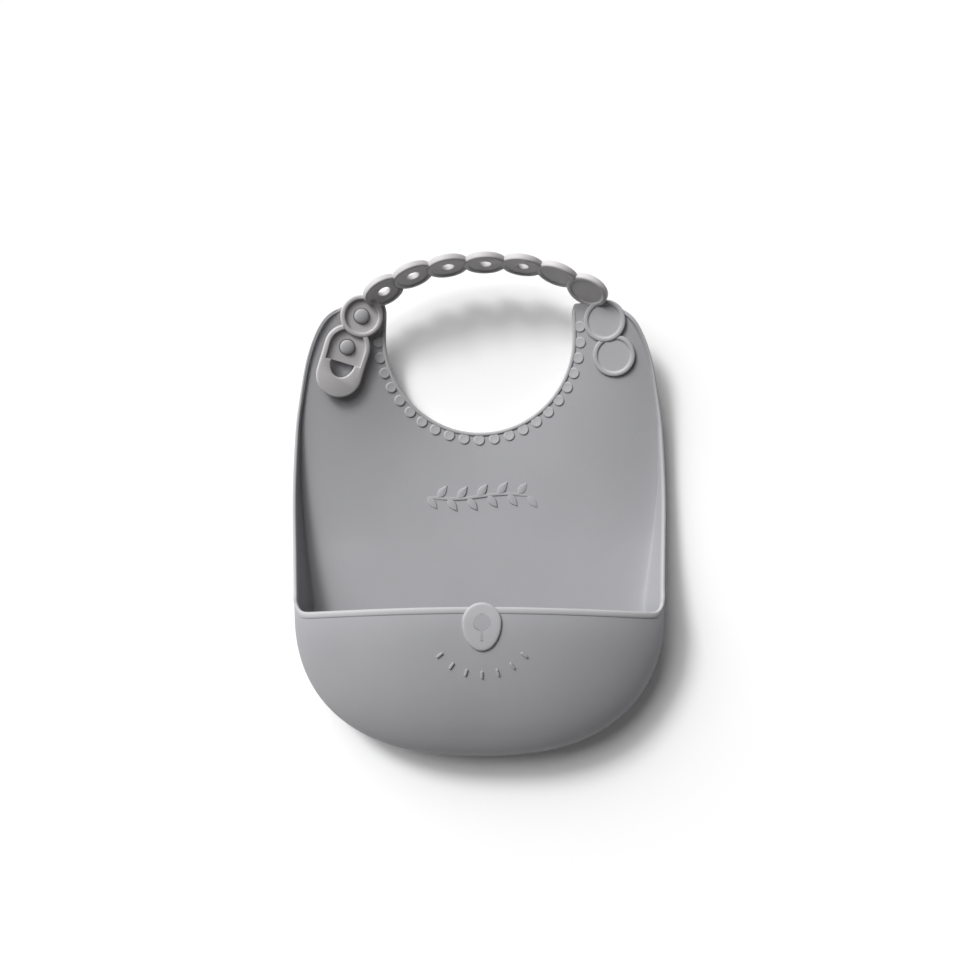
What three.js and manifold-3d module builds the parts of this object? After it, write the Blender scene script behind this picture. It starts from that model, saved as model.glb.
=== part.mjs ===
// A baby's silicone bib lying on its back, closed: the front faces +Z and the neck strap is towards +Y.
// Units are millimetres. The group is shifted at the end so that its origin is the middle of its base.
import * as THREE from 'three';
import { mergeVertices } from 'three/addons/utils/BufferGeometryUtils.js';
import Module from 'manifold-3d';

const wasm = await Module();
wasm.setup();

// ---- Driving dimensions ----
const SHEET = 2; // wall thickness of the sheet and the pocket
const GAP = 0.3; // clearance between pieces that touch
const MERGE = 0.001; // vertices nearer than this are one vertex

const MAX_HALF_WIDTH = 117; // half of the widest place
const POCKET_HALF_WIDTH = 114; // half of the width at the pocket's mouth
const MOUTH_Y = -80; // where the sheet ends and the pocket begins
const POCKET_LENGTH = 91.7; // from the mouth to the bottom of the pocket
const POCKET_ROUND = 2.45; // superellipse exponent of the pocket's outline
const RIM_HEIGHT = 54; // height of the pocket's front wall in the middle of its mouth
const TROUGH_HEIGHT = 20; // height of the widest line around the pocket's bottom
const CORNER_RISE = 8; // how much higher that line ends at the mouth's corners
const CORNER_POWER = 12; // the higher, the nearer to the corners it rises
const CROWN_POWER = 1.6; // how flat the front wall stays before it rounds over, in the middle
const CROWN_SIDE_POWER = 0.8; // added to that towards the corners
const CROWN_ROOT = 0.58; // how square the front wall's shoulder is, in the middle
const CROWN_SIDE_ROOT = 0.17; // added to that towards the corners
const BOTTOM_POWER = 20; // the pocket's underside is flat nearly to its edge
const MOUTH_CUT = 12; // how far the pocket's inside runs out of its mouth
const LIP_BOW = 4; // how far the middle of the mouth stands above its corners

const SHOULDER_TOP = 111; // y of the shoulders' top edge
const SHOULDER_LIFT = 27; // height that the shoulders curl up to
const CURL_START = -40; // y where the curl begins
const CURL_POWER = 1.5;
const CURL_HALF_WIDTH = 105; // x where the curl is complete
const NECK_Y = 89; // centre of the neckline's arc
const NECK_RADIUS = 58.8;
const DOT_COUNT = 23;
const DOT_STEP = 8.75; // degrees between neighbouring dots
const DOT_RADIUS = 3.25;
const DOT_CIRCLE = 62.3;
const DOT_RISE = 1;

const WALL_FOOT = 3.5; // wall height at the shoulders
const WALL_GROWTH = 25.5; // extra wall height at the mouth
const WALL_GROWTH_START = 60; // y where the side walls begin to grow
const WALL_POWER = 1.8;
const DRAFT = 0.24; // how far the walls lean out for each millimetre of height
const BEAD_RADIUS = 1.6;
const WALL_START = 0.003; // the wall runs between these parts of the side curve
const WALL_END = 0.9;
const RIM_START = 0.025; // part of the side curve below the side rims

const COIN_RADIUS = 13; // strap link
const COIN_THICK = 3.6;
const COIN_RING = 2.9;
const COIN_RECESS = 1;
const STRAP_HOLE = 4; // radius of the adjustment holes
const COIN_SIDES = 20;
const DISC_THICK = 2.4; // the two discs that lie on the shoulder

const STUD_HEAD = 4.6; // radius
const STUD_NECK = 3.2;
const STUD_FLANGE = 6;
const STUD_HOLE = 5.7; // radius of the holes that fit over the studs
const STUD_RISE = 1.7; // how far a stud's head stands above the plate around it
const PLATE = 1.7; // thickness of the recessed plates around the studs

const TAB_RADIUS = 14.2;
const TAB_SPACING = 17.9; // distance between the centres of the tab's round ends
const TAB_THICK = 3.8;
const TAB_RIM = 3;
const TAB_STEP = 9.9; // from the stud to the straight edge of the recess
const FINGER_WIDTH = 15.4;
const FINGER_DEPTH = 9.6;
const CLOSURE_TILT = 17.5; // degrees that the closure slopes, as the shoulder below it does

const BADGE_X = 1.6;
const BADGE_Y = -84.5;
const BADGE_HALF_WIDTH = 11.8;
const BADGE_LENGTH_DOWN = 17.5;
const BADGE_THICK = 2;
const BADGE_SINK = 8; // how far the badge's blank reaches into the curved front wall
const KEYHOLE = 5.2; // radius
const SLIT_WIDTH = 1.4;
const SLIT_LENGTH = 12;
const CUTTER_LOW = 10; // the keyhole's cutter runs between these heights
const CUTTER_HIGH = 70;

// Strap link centres from the right shoulder to the closure, with the tilt of each face towards the neck.
const LINKS = [
  { x: 66.4, y: 116.8, z: 30, tilt: 65 },
  { x: 47.9, y: 126.4, z: 31, tilt: 77 },
  { x: 26.4, y: 132, z: 31, tilt: 78 },
  { x: 3.4, y: 133.4, z: 31, tilt: 78 },
  { x: -19.6, y: 131.5, z: 31, tilt: 76 },
  { x: -41, y: 126, z: 31, tilt: 73 },
  { x: -58.8, y: 116.8, z: 28.5, tilt: 66 },
];
const FIRST_HOLE = 2; // the first link with an adjustment hole
const DISCS = [{ x: 84, y: 77 }, { x: 77.8, y: 98.4 }];
const END_LINK = new THREE.Vector3(-72.8, 101.4, 24.8); // middle of the closure's link, on stud A
const TAB_STUD = new THREE.Vector2(-81.9, 82.4); // stud B
const TAB_DIRECTION = new THREE.Vector2(-0.27, -0.963);

const GREY = 0x9b9ba0;
const LIGHT_GREY = 0xa9a9ad;
const STRAP_GREY = 0x8d8b8c;

// ---- Solids, meshes and small helpers ----
const group = new THREE.Group();
const deg = THREE.MathUtils.degToRad;
const clamp01 = (value) => THREE.MathUtils.clamp(value, 0, 1);

function toSolid(geometry) {
  const bare = geometry.clone();
  bare.deleteAttribute('normal');
  bare.deleteAttribute('uv');
  const merged = mergeVertices(bare, MERGE);
  return new wasm.Manifold(new wasm.Mesh({
    numProp: 3,
    vertProperties: Float32Array.from(merged.attributes.position.array),
    triVerts: Uint32Array.from(merged.index.array),
  }));
}

function toGeometry(solid) {
  const mesh = solid.getMesh();
  const geometry = new THREE.BufferGeometry();
  geometry.setAttribute('position', new THREE.BufferAttribute(mesh.vertProperties, 3));
  geometry.setIndex(new THREE.BufferAttribute(mesh.triVerts, 1));
  geometry.computeVertexNormals();
  return geometry;
}

function addPiece(name, solid, color = GREY) {
  const material = new THREE.MeshStandardMaterial({ color, roughness: 0.62, metalness: 0 });
  const mesh = new THREE.Mesh(toGeometry(solid), material);
  mesh.name = name;
  group.add(mesh);
}

function warp(geometry, place) {
  const position = geometry.attributes.position;
  const point = new THREE.Vector3();
  for (let i = 0; i < position.count; i += 1) {
    point.fromBufferAttribute(position, i);
    place(point);
    position.setXYZ(i, point.x, point.y, point.z);
  }
  return geometry;
}

// A box whose corners run from 0 to 1, ready to be bent into a sheet.
function unitSlab(columns, rows) {
  return new THREE.BoxGeometry(1, 1, 1, columns, rows).translate(0.5, 0.5, 0.5);
}

function prism(points, bottom, top) {
  const options = { depth: top - bottom, bevelEnabled: false };
  return new THREE.ExtrudeGeometry(new THREE.Shape(points), options).translate(0, 0, bottom);
}

function cylinder(radius, bottom, top, sides = COIN_SIDES) {
  const shape = new THREE.CylinderGeometry(radius, radius, top - bottom, sides);
  return shape.rotateX(Math.PI / 2).translate(0, 0, (top + bottom) / 2);
}

function tube(points, radius, steps, sides = 8) {
  const section = [];
  for (let i = 0; i < sides; i += 1) {
    const angle = (2 * Math.PI * i) / sides;
    section.push(new THREE.Vector2(radius * Math.cos(angle), radius * Math.sin(angle)));
  }
  const extrudePath = new THREE.CatmullRomCurve3(points);
  return new THREE.ExtrudeGeometry(new THREE.Shape(section), { steps, extrudePath, bevelEnabled: false });
}

function boxBetween(low, high) {
  const size = new THREE.Vector3().subVectors(high, low);
  const middle = new THREE.Vector3().addVectors(low, high).multiplyScalar(0.5);
  return new THREE.BoxGeometry(size.x, size.y, size.z).translate(middle.x, middle.y, middle.z);
}

// ---- The sheet's surface ----
function curl(y) {
  const run = Math.max(0, (y - CURL_START) / (SHOULDER_TOP - CURL_START));
  return SHOULDER_LIFT * run ** CURL_POWER;
}

function sheetHeight(x, y) {
  const across = Math.sin((Math.PI / 2) * clamp01(Math.abs(x) / CURL_HALF_WIDTH)) ** 2;
  return curl(y) * across;
}

function wallHeight(y) {
  const growth = clamp01((WALL_GROWTH_START - y) / (WALL_GROWTH_START - MOUTH_Y));
  return WALL_FOOT + WALL_GROWTH * growth ** WALL_POWER;
}

// The outer edge of the right side, from the pocket's mouth to the shoulder's top.
const sideCurve = new THREE.CatmullRomCurve3([
  new THREE.Vector3(POCKET_HALF_WIDTH, MOUTH_Y, 0),
  new THREE.Vector3(MAX_HALF_WIDTH, -18, 0),
  new THREE.Vector3(115.6, 25, 0),
  new THREE.Vector3(112.4, 50, 0),
  new THREE.Vector3(106, 79, 0),
  new THREE.Vector3(95, 100.5, 0),
  new THREE.Vector3(78, SHOULDER_TOP - 0.5, 0),
]);

function sidePoint(run) {
  const point = sideCurve.getPointAt(run);
  const tangent = sideCurve.getTangentAt(run);
  const inward = new THREE.Vector2(-tangent.y, tangent.x);
  return { point, inward };
}

// A place in the right side wall: run along it, height up it and depth into it.
function wallPlace(run, height, depth) {
  const { point, inward } = sidePoint(run);
  const tall = wallHeight(point.y);
  const inset = DRAFT * tall * (1 - height) + depth;
  const x = point.x + inward.x * inset;
  const y = point.y + inward.y * inset;
  return new THREE.Vector3(x, y, sheetHeight(x, y) + tall * height);
}

function sheetOutline() {
  const right = [];
  const steps = 26;
  for (let i = 0; i <= steps; i += 1) {
    const place = wallPlace(i / steps, 0, SHEET + GAP);
    right.push(new THREE.Vector2(place.x, place.y));
  }
  right[0].y = MOUTH_Y + GAP;
  const corner = 3;
  const inner = NECK_RADIUS - 1;
  right.push(new THREE.Vector2(inner + corner, SHOULDER_TOP - SHEET - GAP));
  right.push(new THREE.Vector2(inner, SHOULDER_TOP - SHEET - GAP - corner));
  const arcSteps = 18;
  for (let i = 0; i < arcSteps; i += 1) {
    const angle = (-Math.PI / 2) * (i / arcSteps);
    right.push(new THREE.Vector2(NECK_RADIUS * Math.cos(angle), NECK_Y + NECK_RADIUS * Math.sin(angle)));
  }
  const left = right.map((point) => new THREE.Vector2(-point.x, point.y)).reverse();
  return [...right, new THREE.Vector2(0, NECK_Y - NECK_RADIUS), ...left];
}

// A block bent like the sheet's back face, from bottom to top above it, and larger than the sheet all round.
function sheetBlock(bottom, top) {
  const halfWidth = MAX_HALF_WIDTH + 1;
  const low = MOUTH_Y - 8;
  const high = SHOULDER_TOP + 20;
  return toSolid(warp(unitSlab(16, 14), (point) => {
    const x = halfWidth * (2 * point.x - 1);
    const y = low + (high - low) * point.y;
    point.set(x, y, sheetHeight(x, y) + bottom + (top - bottom) * point.z);
  }));
}

const underSheet = sheetBlock(-20, SHEET + GAP);

function makeBackPanel() {
  const sheet = sheetBlock(0, SHEET).intersect(toSolid(prism(sheetOutline(), -5, 60)));
  addPiece('back_panel', sheet);
}

// ---- Side walls and their rims ----
function mirrored(geometry) {
  const copy = geometry.clone().scale(-1, 1, 1);
  const index = copy.index.array;
  for (let i = 0; i < index.length; i += 3) {
    [index[i + 1], index[i + 2]] = [index[i + 2], index[i + 1]];
  }
  return copy;
}

function makeSideWalls() {
  const wall = warp(unitSlab(1, 24), (point) => {
    const run = WALL_START + (WALL_END - WALL_START) * point.y;
    point.copy(wallPlace(run, point.z, SHEET * (1 - point.x)));
  });
  const rimPoints = [];
  const steps = 16;
  for (let i = 0; i <= steps; i += 1) {
    const place = wallPlace(RIM_START + ((WALL_END - RIM_START) * i) / steps, 1, SHEET / 2);
    rimPoints.push(place.setZ(place.z + BEAD_RADIUS + GAP));
  }
  const rim = tube(rimPoints, BEAD_RADIUS, 22, 6);
  const leftRim = tube(rimPoints.map((p) => new THREE.Vector3(-p.x, p.y, p.z)), BEAD_RADIUS, 22, 6);
  addPiece('right_side_wall', toSolid(wall));
  addPiece('left_side_wall', toSolid(mirrored(wall)));
  addPiece('right_side_rim', toSolid(rim), LIGHT_GREY);
  addPiece('left_side_rim', toSolid(leftRim), LIGHT_GREY);
}

// ---- The catch pocket ----
// Carries the unit square to the pocket's half superellipse: u across, v from the mouth to the bottom.
function pocketPlace(u, v, inset) {
  const a = u * Math.sqrt(1 - (v * v) / 2);
  const b = v * Math.sqrt(1 - (u * u) / 2);
  const radius = Math.hypot(a, b);
  const cosine = radius > 0 ? Math.abs(a) / radius : 0;
  const sine = radius > 0 ? Math.abs(b) / radius : 1;
  const stretch = (cosine ** POCKET_ROUND + sine ** POCKET_ROUND) ** (-1 / POCKET_ROUND);
  return {
    x: (POCKET_HALF_WIDTH - inset) * a * stretch,
    y: MOUTH_Y - (POCKET_LENGTH - inset) * b * stretch,
    radius: Math.min(radius, 1),
    cosine,
  };
}

function widestHeight(cosine) {
  return TROUGH_HEIGHT + CORNER_RISE * cosine ** CORNER_POWER;
}

function pocketTop(radius, cosine) {
  const side = cosine ** 4;
  const power = CROWN_POWER + CROWN_SIDE_POWER * side;
  const root = CROWN_ROOT + CROWN_SIDE_ROOT * side;
  const edge = widestHeight(cosine);
  return edge + (RIM_HEIGHT - edge) * (1 - radius ** power) ** root;
}

function pocketBottom(radius, cosine) {
  return (widestHeight(cosine) - 1) * (1 - Math.sqrt(1 - radius ** BOTTOM_POWER));
}

// The pocket as a full body, its walls moved in by inset and its mouth moved out by mouthShift.
function pocketBody(inset, mouthShift) {
  return toSolid(warp(unitSlab(18, 9), (point) => {
    const fromMouth = 1 - point.y;
    const place = pocketPlace(2 * point.x - 1, fromMouth, inset);
    const bow = LIP_BOW * (1 - (place.x / POCKET_HALF_WIDTH) ** 2);
    const top = pocketTop(place.radius, place.cosine) - inset;
    const bottom = pocketBottom(place.radius, place.cosine) + inset;
    const half = Math.max(top - bottom, 1) / 2;
    const shift = (1 - fromMouth) ** 3 * (mouthShift + bow * point.z);
    point.set(place.x, place.y + shift, (top + bottom) / 2 + half * (2 * point.z - 1));
  }));
}

// A round hole with a slit below it, as a solid to cut away.
function keyhole() {
  const round = cylinder(KEYHOLE, CUTTER_LOW, CUTTER_HIGH).translate(BADGE_X, BADGE_Y, 0);
  const slit = boxBetween(
    new THREE.Vector3(BADGE_X - SLIT_WIDTH / 2, BADGE_Y - SLIT_LENGTH, CUTTER_LOW),
    new THREE.Vector3(BADGE_X + SLIT_WIDTH / 2, BADGE_Y, CUTTER_HIGH),
  );
  return toSolid(round).add(toSolid(slit));
}

// Round at the top and drawn out to an egg's narrow end at the bottom.
function badgeOutline() {
  const points = [];
  const count = 32;
  for (let i = 0; i < count; i += 1) {
    const angle = (2 * Math.PI * i) / count;
    const reach = Math.sin(angle) < 0 ? BADGE_LENGTH_DOWN : BADGE_HALF_WIDTH;
    const x = BADGE_X + BADGE_HALF_WIDTH * Math.cos(angle);
    points.push(new THREE.Vector2(x, BADGE_Y + reach * Math.sin(angle)));
  }
  return points;
}

// The pocket's outside raised by the clearance, to trim what rests on it.
function pocketAbove() {
  return pocketBody(0, 0).translate([0, 0, GAP]).add(pocketBody(0, 0));
}

function makePocket() {
  const shell = pocketBody(0, 0).subtract(pocketBody(SHEET, MOUTH_CUT)).subtract(keyhole());
  addPiece('catch_pocket', shell);
}

function makePocketRim() {
  const points = [];
  const steps = 18;
  for (let i = 0; i <= steps; i += 1) {
    const x = (POCKET_HALF_WIDTH - 5) * Math.sin(((Math.PI / 2) * (2 * i - steps)) / steps);
    const y = MOUTH_Y + LIP_BOW * (1 - (x / POCKET_HALF_WIDTH) ** 2);
    const z = pocketTop(Math.abs(x) / POCKET_HALF_WIDTH, 1);
    points.push(new THREE.Vector3(x, y + BEAD_RADIUS + GAP, z - 1.5));
  }
  const rim = toSolid(tube(points, BEAD_RADIUS, 20, 8));
  addPiece('pocket_rim', rim.subtract(pocketAbove()), LIGHT_GREY);
}

// The badge lies on the front wall and stands a little above the mouth.
function makeBadge() {
  const plate = toSolid(prism(badgeOutline(), RIM_HEIGHT - BADGE_SINK, RIM_HEIGHT + GAP + BADGE_THICK));
  const behind = boxBetween(new THREE.Vector3(-20, MOUTH_Y, 0), new THREE.Vector3(20, -60, RIM_HEIGHT + GAP));
  const badge = plate.subtract(pocketAbove()).subtract(toSolid(behind)).subtract(keyhole());
  addPiece('keyhole_badge', badge, LIGHT_GREY);
}

// ---- Neckline trim: an edge bead and a row of dots ----
function makeCollar() {
  const points = [];
  const inset = NECK_RADIUS + BEAD_RADIUS;
  const onSheet = (x, y) => new THREE.Vector3(x, y, sheetHeight(x, y) + SHEET);
  const lean = 1;
  points.push(onSheet(inset - lean, SHOULDER_TOP - 6));
  points.push(onSheet(inset - lean / 2, NECK_Y + 8));
  const steps = 16;
  for (let i = 0; i <= steps; i += 1) {
    const angle = -Math.PI * (i / steps);
    points.push(onSheet(inset * Math.cos(angle), NECK_Y + inset * Math.sin(angle)));
  }
  points.push(onSheet(lean / 2 - inset, NECK_Y + 8));
  points.push(onSheet(lean - inset, SHOULDER_TOP - 6));
  let trim = toSolid(tube(points, BEAD_RADIUS - 0.1, 32, 6));
  const half = (DOT_COUNT - 1) / 2;
  for (let i = -half; i <= half; i += 1) {
    const angle = deg(DOT_STEP * i) - Math.PI / 2;
    const x = DOT_CIRCLE * Math.cos(angle);
    const y = NECK_Y + DOT_CIRCLE * Math.sin(angle);
    const middle = sheetHeight(x, y) + SHEET;
    trim = trim.add(toSolid(cylinder(DOT_RADIUS, -2, 2.4, 8).translate(x, y, middle - 0.6)));
  }
  const cap = sheetBlock(-5, SHEET + GAP + DOT_RISE + 0.3);
  addPiece('collar_trim', trim.intersect(cap).subtract(underSheet), LIGHT_GREY);
}

// ---- Strap: coin-shaped links, each one bitten by the link before it ----
function coin(hole, thick = COIN_THICK) {
  const inner = COIN_RADIUS - COIN_RING;
  const profile = [
    new THREE.Vector2(hole, -thick / 2),
    new THREE.Vector2(COIN_RADIUS, -thick / 2),
    new THREE.Vector2(COIN_RADIUS, thick / 2),
    new THREE.Vector2(inner, thick / 2),
    new THREE.Vector2(inner, thick / 2 - COIN_RECESS),
    new THREE.Vector2(hole, thick / 2 - COIN_RECESS),
  ];
  if (hole > 0) profile.push(profile[0].clone());
  return new THREE.LatheGeometry(profile, COIN_SIDES).rotateX(Math.PI / 2);
}

// The frame of a link: its x runs along the strap, its z out of its face.
function linkFrame(centre, along, tilt) {
  const inward = new THREE.Vector3(along.y, -along.x, 0);
  if (inward.x * centre.x + inward.y * (centre.y - NECK_Y) > 0) inward.negate();
  const normal = new THREE.Vector3(0, 0, Math.cos(tilt)).addScaledVector(inward, Math.sin(tilt));
  const forward = new THREE.Vector3(along.x, along.y, 0);
  const side = new THREE.Vector3().crossVectors(normal, forward);
  return new THREE.Matrix4().makeBasis(forward, side, normal).setPosition(centre);
}

function strapFrames() {
  const chain = [LINKS[0], ...LINKS, LINKS[LINKS.length - 1]];
  return LINKS.map((link, i) => {
    const along = new THREE.Vector2(chain[i + 2].x - chain[i].x, chain[i + 2].y - chain[i].y).normalize();
    return linkFrame(new THREE.Vector3(link.x, link.y, link.z), along, deg(link.tilt));
  });
}

const placed = (geometry, matrix) => toSolid(geometry.clone().applyMatrix4(matrix));

// Half of space beyond a hinge between two links, as a big box; turn is +1 for the side ahead.
function besideHinge(point, ahead, side) {
  const reach = 40;
  const box = new THREE.BoxGeometry(reach, 2 * reach, 2 * reach).translate((side * reach) / 2, 0, 0);
  const angle = Math.atan2(ahead.y, ahead.x);
  return toSolid(box.rotateZ(angle).translate(point.x, point.y, point.z));
}

function hingeBetween(a, b) {
  const ahead = new THREE.Vector3(b.x - a.x, b.y - a.y, 0).normalize();
  const point = new THREE.Vector3((a.x + b.x) / 2, (a.y + b.y) / 2, 0);
  return { point, ahead };
}

function trimAt(solid, hinge, side) {
  const shifted = hinge.point.clone().addScaledVector(hinge.ahead, (side * GAP) / 2);
  return solid.intersect(besideHinge(shifted, hinge.ahead, side));
}

const rootHinge = hingeBetween(DISCS[1], LINKS[0]);
const peelHinge = hingeBetween(LINKS[LINKS.length - 1], END_LINK);
const tabHinge = hingeBetween(END_LINK, TAB_STUD);

function makeShoulderDiscs() {
  let bite = null;
  DISCS.forEach((disc, i) => {
    const step = 1.5;
    const rise = (sheetHeight(disc.x, disc.y + step) - sheetHeight(disc.x, disc.y - step)) / (2 * step);
    const lean = (sheetHeight(disc.x + step, disc.y) - sheetHeight(disc.x - step, disc.y)) / (2 * step);
    const middle = sheetHeight(disc.x, disc.y) + SHEET + GAP + DISC_THICK / 2;
    const slope = new THREE.Euler(Math.atan(rise), -Math.atan(lean), 0);
    const turn = new THREE.Matrix4().makeRotationFromEuler(slope);
    turn.setPosition(disc.x, disc.y, middle);
    let solid = placed(coin(0, DISC_THICK), turn).subtract(underSheet);
    if (bite) solid = solid.subtract(bite);
    bite = placed(cylinder(COIN_RADIUS + GAP, -8, 8), turn);
    if (i === 1) solid = trimAt(solid, rootHinge, -1);
    addPiece(`shoulder_disc_${i + 1}`, solid, LIGHT_GREY);
  });
}

function makeStrapLinks() {
  const frames = strapFrames();
  frames.forEach((frame, i) => {
    const hole = i >= FIRST_HOLE ? STRAP_HOLE : 0;
    let solid = placed(coin(hole), frame);
    if (i > 0) solid = solid.subtract(placed(cylinder(COIN_RADIUS + GAP, -7, 7), frames[i - 1]));
    if (i === 0) solid = trimAt(solid, rootHinge, 1).subtract(underSheet);
    if (i === frames.length - 1) solid = trimAt(solid, peelHinge, -1);
    addPiece(`strap_link_${i + 1}`, solid, STRAP_GREY);
  });
}

// ---- Closure: the end link and the tab lie in one plane above the shoulder, held by two studs ----
const closureDown = new THREE.Vector3(0.75, -0.66, 0).normalize();

function closureFrame(x, y, ahead) {
  const tilt = deg(CLOSURE_TILT);
  const normal = new THREE.Vector3(0, 0, Math.cos(tilt)).addScaledVector(closureDown, Math.sin(tilt));
  const fromEnd = new THREE.Vector3(x - END_LINK.x, y - END_LINK.y, 0).dot(closureDown);
  const centre = new THREE.Vector3(x, y, END_LINK.z - fromEnd * Math.tan(tilt));
  const forward = new THREE.Vector3(ahead.x, ahead.y, 0).projectOnPlane(normal).normalize();
  const side = new THREE.Vector3().crossVectors(normal, forward);
  return new THREE.Matrix4().makeBasis(forward, side, normal).setPosition(centre);
}

const endFrame = closureFrame(END_LINK.x, END_LINK.y, peelHinge.ahead);
const tabFrame = closureFrame(TAB_STUD.x, TAB_STUD.y, TAB_DIRECTION);

function makeEndLink() {
  const plateTop = -COIN_THICK / 2 + PLATE;
  const recess = cylinder(COIN_RADIUS - COIN_RING, plateTop, 10);
  let solid = placed(coin(STUD_HOLE), endFrame).subtract(placed(recess, endFrame));
  solid = trimAt(trimAt(solid, peelHinge, 1), tabHinge, -1);
  addPiece('end_link', solid, STRAP_GREY);
}

function stadium(radius, length, count = 12) {
  const points = [];
  for (let i = 0; i <= count; i += 1) {
    const angle = -Math.PI / 2 + (Math.PI * i) / count;
    points.push(new THREE.Vector2(length + radius * Math.cos(angle), radius * Math.sin(angle)));
  }
  for (let i = 0; i <= count; i += 1) {
    const angle = Math.PI / 2 + (Math.PI * i) / count;
    points.push(new THREE.Vector2(radius * Math.cos(angle), radius * Math.sin(angle)));
  }
  return points;
}

// A straight edge across the tab at x = TAB_STEP and a round end towards the pad.
function fingerHole() {
  const points = [];
  const half = FINGER_WIDTH / 2;
  const count = 12;
  for (let i = 0; i <= count; i += 1) {
    const angle = -Math.PI / 2 + (Math.PI * i) / count;
    points.push(new THREE.Vector2(TAB_STEP + FINGER_DEPTH * Math.cos(angle), half * Math.sin(angle)));
  }
  return points;
}

function makeTab() {
  const low = -TAB_THICK / 2;
  const inner = TAB_RADIUS - TAB_RIM;
  const recess = toSolid(prism(stadium(inner, TAB_SPACING), low + PLATE, 20));
  const upper = toSolid(boxBetween(new THREE.Vector3(-30, -30, -20), new THREE.Vector3(TAB_STEP, 30, 30)));
  let tab = toSolid(prism(stadium(TAB_RADIUS, TAB_SPACING), low, -low));
  tab = tab.subtract(recess.intersect(upper));
  tab = tab.subtract(toSolid(cylinder(STUD_HOLE, -10, 10)));
  tab = tab.subtract(toSolid(prism(fingerHole(), -10, 10)));
  const matrix = tabFrame.toArray();
  const bite = placed(cylinder(COIN_RADIUS + GAP, -7, 7), endFrame);
  addPiece('closure_tab', trimAt(tab.transform(matrix).subtract(bite), tabHinge, 1), STRAP_GREY);
}

function makeStuds() {
  const studs = { closure_stud_a: [endFrame, COIN_THICK], closure_stud_b: [tabFrame, TAB_THICK] };
  Object.entries(studs).forEach(([name, [frame, thick]]) => {
    const plateTop = -thick / 2 + PLATE;
    const top = plateTop + STUD_RISE;
    const profile = [
      new THREE.Vector2(0, -20),
      new THREE.Vector2(STUD_FLANGE, -20),
      new THREE.Vector2(STUD_FLANGE, -thick / 2 - 2.2),
      new THREE.Vector2(STUD_NECK, -thick / 2 - 1),
      new THREE.Vector2(STUD_NECK, plateTop - 0.6),
      new THREE.Vector2(STUD_HEAD, plateTop + 0.4),
      new THREE.Vector2(STUD_HEAD - 0.2, top - 0.7),
      new THREE.Vector2(STUD_HEAD - 1.6, top),
      new THREE.Vector2(0, top),
    ];
    const turned = new THREE.LatheGeometry(profile, COIN_SIDES).rotateX(Math.PI / 2);
    addPiece(name, placed(turned, frame).subtract(underSheet), LIGHT_GREY);
  });
}

makeBackPanel();
makeSideWalls();
makePocket();
makePocketRim();
makeBadge();
makeCollar();
makeShoulderDiscs();
makeStuds();
makeStrapLinks();
makeEndLink();
makeTab();

const bounds = new THREE.Box3().setFromObject(group);
const middle = bounds.getCenter(new THREE.Vector3());
group.position.set(-middle.x, -middle.y, -bounds.min.z);

export default group;
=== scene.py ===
"""A baby's silicone bib with a catch pocket and a link strap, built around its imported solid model."""
import math

import bmesh
import bpy
from mathutils import Matrix, Vector


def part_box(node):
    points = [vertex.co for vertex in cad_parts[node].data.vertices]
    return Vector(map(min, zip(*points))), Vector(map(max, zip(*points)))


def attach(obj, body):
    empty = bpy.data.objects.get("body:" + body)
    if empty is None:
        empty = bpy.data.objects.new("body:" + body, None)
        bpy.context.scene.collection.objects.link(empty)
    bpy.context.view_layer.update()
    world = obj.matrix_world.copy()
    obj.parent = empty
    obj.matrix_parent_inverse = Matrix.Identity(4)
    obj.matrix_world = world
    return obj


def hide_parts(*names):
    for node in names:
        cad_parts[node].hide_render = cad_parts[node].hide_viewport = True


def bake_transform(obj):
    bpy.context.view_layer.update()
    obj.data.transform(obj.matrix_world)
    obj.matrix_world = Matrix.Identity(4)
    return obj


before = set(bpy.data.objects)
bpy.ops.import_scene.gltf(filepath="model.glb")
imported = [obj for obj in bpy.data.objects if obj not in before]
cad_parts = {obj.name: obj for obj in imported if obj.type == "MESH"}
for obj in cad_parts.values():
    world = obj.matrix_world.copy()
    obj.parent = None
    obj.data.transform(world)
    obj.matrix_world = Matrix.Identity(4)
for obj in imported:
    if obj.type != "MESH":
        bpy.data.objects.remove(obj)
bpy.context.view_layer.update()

bl_info = {
    "name": "Silicone bib",
    "version": (1, 0, 0),
    "blender": (4, 5, 0),
    "location": "View3D > Sidebar > Bib",
    "description": "Builds a silicone bib with a catch pocket, a dotted collar and a link strap",
    "category": "Object",
}

# ---- The moulding, in millimetres ----
SHEET = 2.0  # wall thickness
POCKET_HALF_WIDTH = 114.0
MOUTH_Y = -80.0
POCKET_LENGTH = 91.7
POCKET_ROUND = 2.45  # exponent of the pocket's outline
RIM_HEIGHT = 54.0  # front wall in the middle of the mouth
TROUGH_HEIGHT = 20.0  # widest line around the pocket's bottom
CORNER_HEIGHT = 28.0  # widest line at the mouth's corners
CORNER_POWER = 12  # the higher, the nearer to the corners the line rises
CROWN_POWER = 1.6  # how flat the front wall stays before it rounds over, in the middle
CROWN_SIDE_POWER = 0.8  # added to that towards the corners
CROWN_ROOT = 0.58  # how square the front wall's shoulder is, in the middle
CROWN_SIDE_ROOT = 0.17  # added to that towards the corners
LIP_BOW = 4.0

SHOULDER_TOP = 111.0
SHOULDER_LIFT = 27.0
CURL_START = -40.0
CURL_POWER = 1.5
CURL_HALF_WIDTH = 105.0
NECK_Y = 89.0
NECK_RADIUS = 58.8
SIDE_EDGE = [Vector(p) for p in (
    (114, -80), (117, -18), (115.6, 25), (112.4, 50), (106, 79), (95, 100.5), (78, 110.5))]

WALL_FOOT = 3.5
WALL_GROWTH = 25.5
WALL_GROWTH_START = 60.0
WALL_POWER = 1.8
DRAFT = 0.24

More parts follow.
